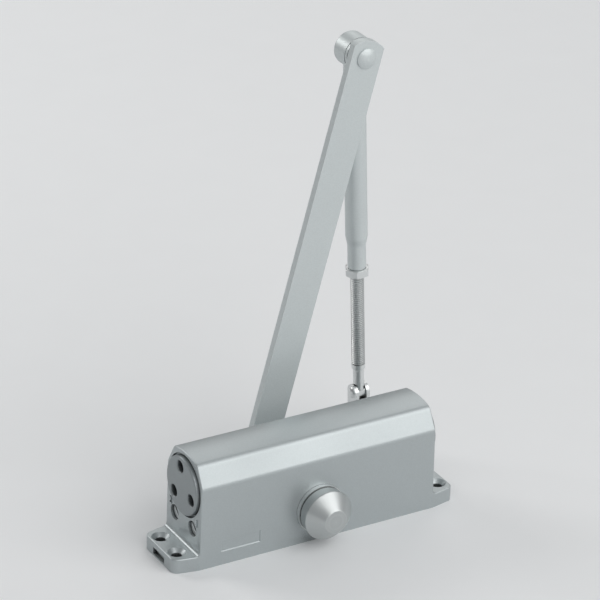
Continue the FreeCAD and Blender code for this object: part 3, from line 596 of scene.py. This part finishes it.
def make_plain_metal(name, rgb, roughness, spangle_size, depth):
    """Plated, ground or cast bare metal with spangle, smudges, edges lightened by wear and by a painted
    highlight, and painted shade in hollows such as thread roots.
    """
    tree, shader, where = new_finish(name)
    mottle = place_group(tree, "fine_mottle", Vector=where, Spangle_size=spangle_size)
    # Lighter edges: rubbed wear of the metal and a painted edge highlight.
    wear_and_glint = place_group(tree, "edge_wear", Vector=where, Width=0.0002)
    # Painted shade: the colour goes dark in hollows, gaps and thread roots that ambient occlusion finds.
    shade_in_hollows = place_group(tree, "crevice_grime", Reach=0.002, Open=0.80)
    body = varied(tree, mottle.outputs["Spangle"], rgb, darkest=0.93, lightest=1.07)
    edge = scaled(tree, wear_and_glint.outputs["Edge"], share=0.3)
    painted_shade = maths(tree, "POWER", shade_in_hollows.outputs["Grime"], 1.8)
    feed(tree, shader, Base_Color=wear_glint_and_shade(
        tree, rgb, body, edge, rubbed_and_glint=1.3, painted_shade=painted_shade, shade_share=0.05))
    feed(tree, shader, Roughness=ranged(
        tree, mottle.outputs["Smudge"], low=0.3, high=0.7,
        to_low=roughness - 0.05, to_high=roughness + 0.08))
    feed(tree, shader, Normal=bumped(tree, mottle.outputs["Spangle"], depth))
    feed(tree, shader, Metallic=1.0)


def make_rubber(name, rgb):
    """Moulded black rubber with a faint bloom."""
    tree, shader, where = new_finish(name)
    mottle = place_group(tree, "fine_mottle", Vector=where, Spangle_size=0.0004)
    feed(tree, shader, Base_Color=varied(tree, mottle.outputs["Smudge"], rgb, darkest=1.0, lightest=1.8))
    feed(tree, shader, Roughness=ranged(
        tree, mottle.outputs["Spangle"], low=0.3, high=0.7, to_low=0.5, to_high=0.68))
    feed(tree, shader, Normal=bumped(tree, mottle.outputs["Spangle"], 0.00002))


class CLOSER_OT_finishes(bpy.types.Operator):
    """Make every finish and put it on the construction nodes"""

    bl_idname = "closer.finishes"
    bl_label = "Finishes"

    def execute(self, context):
        colours = context.scene.closer_colours
        pinion_axis = joints["arm_swing"]["pos_m"]
        make_paint_grain()
        make_edge_wear_and_glint()
        make_painted_hollow_shade()
        make_turned_lines()
        make_fine_mottle()
        make_silver_paint("casting_paint", tuple(colours.casting),
                          roughness=0.43, peel_depth=0.00003, metallic=0.7)
        make_silver_paint("plug_paint", tuple(colours.plug),
                          roughness=0.44, peel_depth=0.00002, metallic=0.7)
        make_silver_paint("arm_paint", tuple(colours.arm),
                          roughness=0.46, peel_depth=0.00002, metallic=0.45)
        make_turned_aluminium("turned_aluminium", tuple(colours.cap), pinion_axis[2])
        make_plain_metal("bright_zinc", tuple(colours.zinc),
                         roughness=0.34, spangle_size=0.0011, depth=0.00001)
        make_plain_metal("ground_steel", tuple(colours.ground),
                         roughness=0.26, spangle_size=0.0008, depth=0.00001)
        make_plain_metal("tempered_wire", tuple(colours.wire),
                         roughness=0.38, spangle_size=0.0009, depth=0.00002)
        make_plain_metal("plain_bronze", tuple(colours.bronze),
                         roughness=0.33, spangle_size=0.0010, depth=0.00001)
        make_rubber("nitrile_rubber", tuple(colours.rubber))
        for node in nodes.values():
            for slot in node.material_slots:
                slot.material = bpy.data.materials[FINISHES[slot.material.name]]
        return {"FINISHED"}


def cut_name_place(body, sizes):
    """Sink the bare name place into the front of the body."""
    clear_selection()
    bpy.ops.mesh.primitive_cube_add(size=1.0, location=sizes.name_place_middle)
    cutter = bpy.context.active_object
    cutter.scale = (sizes.name_place_width, 2 * sizes.name_place_depth, sizes.name_place_height)
    make_active(cutter)
    bpy.ops.object.transform_apply(location=True, rotation=True, scale=True)
    # The cutter is twice as deep as the place, so both its walls lean out twice as far
    spread = 2 * 2 * sizes.name_place_slope
    edit_all(cutter)
    pick(cutter, "FACE", lambda face: face.normal.y < -FACING)
    bpy.ops.transform.resize(value=(
        1 + spread / sizes.name_place_width, 1.0, 1 + spread / sizes.name_place_height))
    close_edit()
    apply_modifier(body, "BOOLEAN", operation="DIFFERENCE", solver="EXACT", object=cutter)
    bpy.data.objects.remove(cutter)


class CLOSER_OT_body(bpy.types.Operator):
    """Copy the casting and sink its bare name place"""

    bl_idname = "closer.body"
    bl_label = "Cast body"

    def execute(self, context):
        body = copy_of_node("body_housing", "cast_body_shell")
        cut_name_place(body, context.scene.closer_sizes)
        round_edges(body, context.scene.closer_sizes.edge_round)
        dress(body, "housing", "cast_body", "body_housing")
        return {"FINISHED"}


class CLOSER_OT_rounded_edges(bpy.types.Operator):
    """Copy the plain pieces and round their sharp edges"""

    bl_idname = "closer.rounded_edges"
    bl_label = "Rounded edges"

    def execute(self, context):
        width = context.scene.closer_sizes.edge_round
        for node, slot in ROUNDED.items():
            piece = copy_of_node(node, f"rounded_{node}")
            round_edges(piece, width)
            dress(piece, body_of(nodes[node])[0], slot, node)
        return {"FINISHED"}


class CLOSER_OT_valve_marks(bpy.types.Operator):
    """Raise a plain digit beside each regulating valve"""

    bl_idname = "closer.valve_marks"
    bl_label = "Valve digits"

    def execute(self, context):
        sizes = context.scene.closer_sizes
        for digit, side in (("1", -1), ("2", 1)):
            clear_selection()
            bpy.ops.object.text_add(location=(0, 0, 0))
            mark = context.active_object
            mark.data.body = digit
            mark.data.size = sizes.mark_height / DIGIT_SHARE
            mark.data.align_x = "CENTER"
            mark.data.align_y = "CENTER"
            mark.data.extrude = sizes.mark_relief
            mark.data.bevel_depth = sizes.mark_relief / 4
            bpy.ops.object.convert(target="MESH")
            mark = context.active_object
            mark.name = f"valve_digit_{digit}"
            level = Vector((0.0, side * sizes.mark_spread, sizes.mark_level))
            set_in_place(mark, end_face_frame(level))
            edit_all(mark)
            bpy.ops.mesh.remove_doubles(threshold=TINY)
            close_edit()
            smooth(mark, DIGIT_SHARP_ANGLE)
            dress(mark, "housing", "cast_body")
        return {"FINISHED"}


def end_face_frame(level):
    """Placement on the body's sloping left end face at a level, with its z pointing outwards."""
    shell = nodes["body_housing"].data
    points = [vertex.co for vertex in shell.vertices]
    near = [point for point in points if point.x < END_ZONE_X and point.z > END_ZONE_Z]
    high = max(near, key=lambda point: point.z)
    low = [point for point in points
           if point.z > FLANGE_TOP and abs(point.x - END_FACE_X) < END_FACE_SLACK]
    foot = min(low, key=lambda point: point.x)
    slope = (high.x - foot.x) / (high.z - foot.z)
    outward = Vector((-1.0, 0.0, slope)).normalized()
    upward = Vector((slope, 0.0, 1.0)).normalized()
    sideways = upward.cross(outward)
    spot = Vector((foot.x + slope * (level.z - foot.z), level.y, level.z))
    turn = Matrix((sideways, upward, outward)).transposed().to_4x4()
    return Matrix.Translation(spot) @ turn


class CLOSER_OT_rod(bpy.types.Operator):
    """Cut a real thread on the forearm's rod"""

    bl_idname = "closer.rod"
    bl_label = "Threaded rod"

    def execute(self, context):
        sizes = context.scene.closer_sizes
        elbow = Vector(joints["elbow_swing"]["pos_m"])
        down = Vector(joints["forearm_length"]["axis"]).normalized()
        points = [vertex.co - elbow for vertex in nodes["threaded_rod"].data.vertices]
        first = min(point.dot(down) for point in points)
        crest = max((point - down * point.dot(down)).length for point in points
                    if point.dot(down) < first + sizes.thread_length)
        root = crest - sizes.thread_depth
        pitch = sizes.thread_pitch
        turns = int(sizes.thread_length / pitch)
        thread = draw_profile("threaded_forearm_rod", [
            (root + rise * sizes.thread_depth, 0.0, run * pitch) for run, rise in THREAD_PROFILE])
        apply_modifier(thread, "SCREW", axis="Z", screw_offset=pitch, iterations=turns,
                       steps=sizes.thread_sides, render_steps=sizes.thread_sides,
                       use_merge_vertices=True, merge_threshold=TINY)
        for level, upper in ((pitch, False), (pitch * turns, True)):
            edit_all(thread)
            bpy.ops.mesh.bisect(plane_co=(0, 0, level), plane_no=(0, 0, 1), use_fill=True,
                                clear_inner=not upper, clear_outer=upper, threshold=TINY)
            close_edit()
        edit_all(thread)
        bpy.ops.mesh.remove_doubles(threshold=TINY)
        bpy.ops.mesh.normals_make_consistent(inside=False)
        close_edit()
        across = Vector((0.0, 1.0, 0.0))
        turn = Matrix((across.cross(down).normalized(), across, down)).transposed().to_4x4()
        set_in_place(thread, Matrix.Translation(elbow + down * (first - pitch)) @ turn)
        tail = copy_of_node("threaded_rod", "rod_tail")
        edit_all(tail)
        joint = elbow + down * (first + pitch * (turns - TAIL_OVERLAP))
        bpy.ops.mesh.bisect(plane_co=joint, plane_no=down, use_fill=True,
                            clear_inner=True, threshold=TINY)
        close_edit()
        make_active(thread)
        tail.select_set(True)
        bpy.ops.object.join()
        smooth(thread, THREAD_SHARP_ANGLE)
        dress(thread, "rod", "zinc_steel", "threaded_rod")
        return {"FINISHED"}


class CLOSER_OT_spring(bpy.types.Operator):
    """Copy the return spring into a smooth-shaded piece that stands for it"""

    bl_idname = "closer.spring"
    bl_label = "Return spring"

    def execute(self, context):
        coil = copy_of_node("return_spring", "return_coil")
        smooth(coil, SHARP_ANGLE)
        dress(coil, "housing", "spring_steel", "return_spring")
        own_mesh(coil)
        return {"FINISHED"}


class CLOSER_OT_stage(bpy.types.Operator):
    """Set the pale floor, the soft lamps, the backdrop and the camera"""

    bl_idname = "closer.stage"
    bl_label = "Stage"

    def execute(self, context):
        stage = context.scene.closer_stage
        context.scene.view_settings.view_transform = "Standard"
        lay_floor(context.scene.closer_colours, stage)
        light_sky(stage)
        for name, spot, size, setting in LAMPS:
            hang_lamp(name, spot, size, getattr(stage, setting))
        set_camera(stage)
        return {"FINISHED"}


def lay_floor(colours, stage):
    """A pale floor that keeps the object's shadow."""
    clear_selection()
    bpy.ops.mesh.primitive_plane_add(size=stage.floor_size, location=(0, 0, 0))
    floor = bpy.context.active_object
    floor.name = "studio_floor"
    tree, shader, where = new_finish("studio_floor_paper")
    speck = add_node(tree, "ShaderNodeTexNoise")
    feed(tree, speck, Vector=where, Scale=30.0, Detail=2.0)
    rgb = tuple(colours.floor)
    paper = varied(tree, speck.outputs["Fac"], rgb, darkest=0.99, lightest=1.01)
    ray = add_node(tree, "ShaderNodeLightPath")
    seen = maths(tree, "ADD", ray.outputs["Is Camera Ray"], ray.outputs["Is Glossy Ray"])
    seen = maths(tree, "ADD", seen, ray.outputs["Is Transmission Ray"], clamp=True)
    feed(tree, shader, Base_Color=mixed(tree, seen, shade(colours.bounce), paper))
    feed(tree, shader, Roughness=0.8)
    floor.data.materials.append(bpy.data.materials["studio_floor_paper"])


def light_sky(stage):
    """A soft backdrop all round, pale towards the key lamp and darker on the other side."""
    world = bpy.data.worlds.new("studio_sky")
    world.use_nodes = True
    tree = world.node_tree
    sky = tree.nodes["Background"]
    facing = add_node(tree, "ShaderNodeVectorMath", operation="DOT_PRODUCT")
    tree.links.new(add_node(tree, "ShaderNodeTexCoord").outputs["Generated"], facing.inputs[0])
    facing.inputs[1].default_value = BRIGHT_SIDE
    feed(tree, sky, Color=SKY_COLOUR)
    feed(tree, sky, Strength=ranged(
        tree, facing.outputs["Value"], low=-0.5, high=0.9,
        to_low=stage.sky_dark, to_high=stage.sky_bright))
    bpy.context.scene.world = world


def hang_lamp(name, spot, size, power):
    """A soft rectangular lamp that faces the middle of the object."""
    clear_selection()
    bpy.ops.object.light_add(type="AREA", location=spot)
    lamp = bpy.context.active_object
    lamp.name = name
    lamp.data.shape = "RECTANGLE"
    lamp.data.size, lamp.data.size_y = size
    lamp.data.energy = power
    lamp.data.color = LAMP_COLOUR
    aim = LAMP_AIM - Vector(spot)
    lamp.rotation_euler = aim.to_track_quat("-Z", "Y").to_euler()


def set_camera(stage):
    """A camera that looks at its target from the stated angles."""
    clear_selection()
    turn, rise, roll = stage.view_turn, stage.view_rise, stage.view_roll
    back = Vector((math.sin(turn) * math.cos(rise), -math.cos(turn) * math.cos(rise), math.sin(rise)))
    level = Vector((math.cos(turn), math.sin(turn), 0.0))
    above = back.cross(level)
    right = level * math.cos(roll) + above * math.sin(roll)
    upward = above * math.cos(roll) - level * math.sin(roll)
    bpy.ops.object.camera_add()
    camera = bpy.context.active_object
    camera.name = "photo_camera"
    camera.data.sensor_fit = "HORIZONTAL"
    camera.data.sensor_width = SENSOR_WIDTH
    camera.data.lens = stage.view_lens
    axes = Matrix((right, upward, back)).transposed().to_4x4()
    spot = Vector(stage.view_target) + back * stage.view_distance
    camera.matrix_world = Matrix.Translation(spot) @ axes
    bpy.context.scene.camera = camera


class CLOSER_PT_sidebar(bpy.types.Panel):
    """Steps and settings of the door closer's looks"""

    bl_idname = "CLOSER_PT_sidebar"
    bl_label = "Door Closer"
    bl_space_type = "VIEW_3D"
    bl_region_type = "UI"
    bl_category = "Closer"

    def draw(self, context):
        for step in STEPS:
            self.layout.operator(step.bl_idname)
        scene = context.scene
        for group in (scene.closer_sizes, scene.closer_colours, scene.closer_stage):
            box = self.layout.box()
            for name in group.__annotations__:
                box.prop(group, name)


STEPS = (
    CLOSER_OT_finishes,
    CLOSER_OT_body,
    CLOSER_OT_rounded_edges,
    CLOSER_OT_valve_marks,
    CLOSER_OT_rod,
    CLOSER_OT_spring,
    CLOSER_OT_stage,
)
CLASSES = (CloserSizes, CloserColours, CloserStage) + STEPS + (CLOSER_PT_sidebar,)


def register():
    """Add the classes and their settings to Blender."""
    for part in CLASSES:
        bpy.utils.register_class(part)
    bpy.types.Scene.closer_sizes = bpy.props.PointerProperty(type=CloserSizes)
    bpy.types.Scene.closer_colours = bpy.props.PointerProperty(type=CloserColours)
    bpy.types.Scene.closer_stage = bpy.props.PointerProperty(type=CloserStage)


def unregister():
    """Take the classes and their settings out again."""
    del bpy.types.Scene.closer_stage
    del bpy.types.Scene.closer_colours
    del bpy.types.Scene.closer_sizes
    for part in reversed(CLASSES):
        bpy.utils.unregister_class(part)


def main():
    """Run every step in order."""
    register()
    bpy.ops.closer.finishes()
    bpy.ops.closer.body()
    bpy.ops.closer.rounded_edges()
    bpy.ops.closer.valve_marks()
    bpy.ops.closer.rod()
    bpy.ops.closer.spring()
    bpy.ops.closer.stage()


if __name__ == "__main__":
    main()
